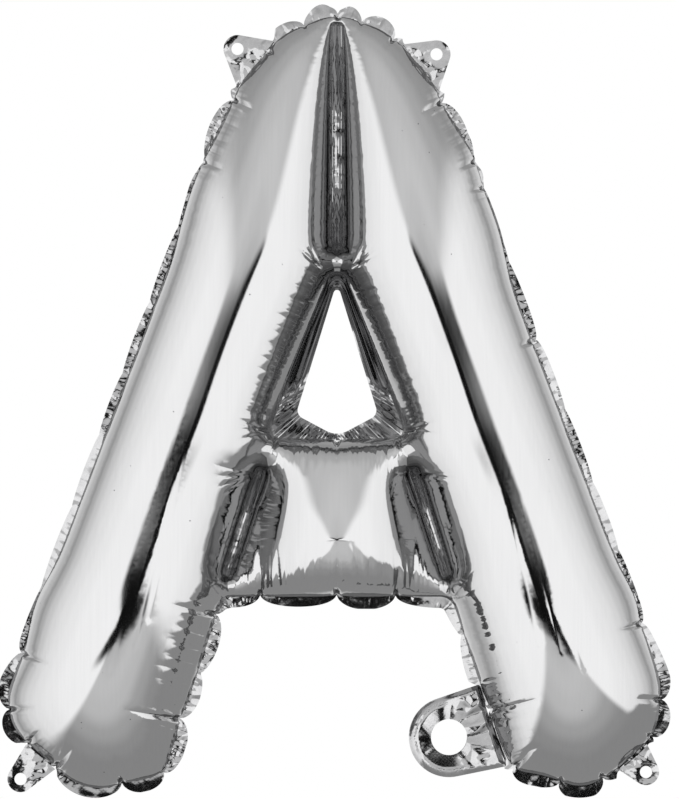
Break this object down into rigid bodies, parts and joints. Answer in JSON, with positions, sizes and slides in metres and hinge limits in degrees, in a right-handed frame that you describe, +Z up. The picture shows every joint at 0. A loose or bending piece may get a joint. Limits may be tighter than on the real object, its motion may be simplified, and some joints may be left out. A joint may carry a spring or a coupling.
{
  "type": "letter foil balloon",
  "caption": "Inflated silver foil balloon in the form of a capital letter A, with a welded seam, hanging tabs and a filling tail.",
  "frame": {"origin": "midway between the holes of the two upper hanging tabs, on the plane where the two foil sheets are welded", "axes": "+Z up as the letter hangs, +X to the right for someone who reads the letter from the front, -Y out of the front face"},
  "size_m": [0.3005, 0.0722, 0.3487],
  "materials": {
    "silver_foil": "mirror-bright metallised film, pulled smooth by the air inside",
    "seam_foil": "the same metallised film, crumpled where it is welded flat",
    "valve_film": "thin clear plastic film, milky where it is folded flat"
  },
  "bodies": {
    "balloon": {"front_sheet": "silver_foil", "back_sheet": "silver_foil", "rim_seam": "seam_foil", "counter_seam": "seam_foil", "apex_weld": "seam_foil", "left_crossbar_weld": "seam_foil", "right_crossbar_weld": "seam_foil", "upper_left_tab": "seam_foil", "upper_right_tab": "seam_foil", "lower_left_tab": "seam_foil", "lower_right_tab": "seam_foil"},
    "tail": {"tail_front_layer": "seam_foil", "tail_back_layer": "seam_foil", "tail_valve": "valve_film"}
  },
  "joints": [
    {"name": "tail_fold", "type": "hinge", "parent": "balloon", "child": "tail", "pos_m": [0.06555, 0, -0.29599], "axis": [-0.3144, 0, 0.9493], "range_deg": [-75, 75]}
  ]
}
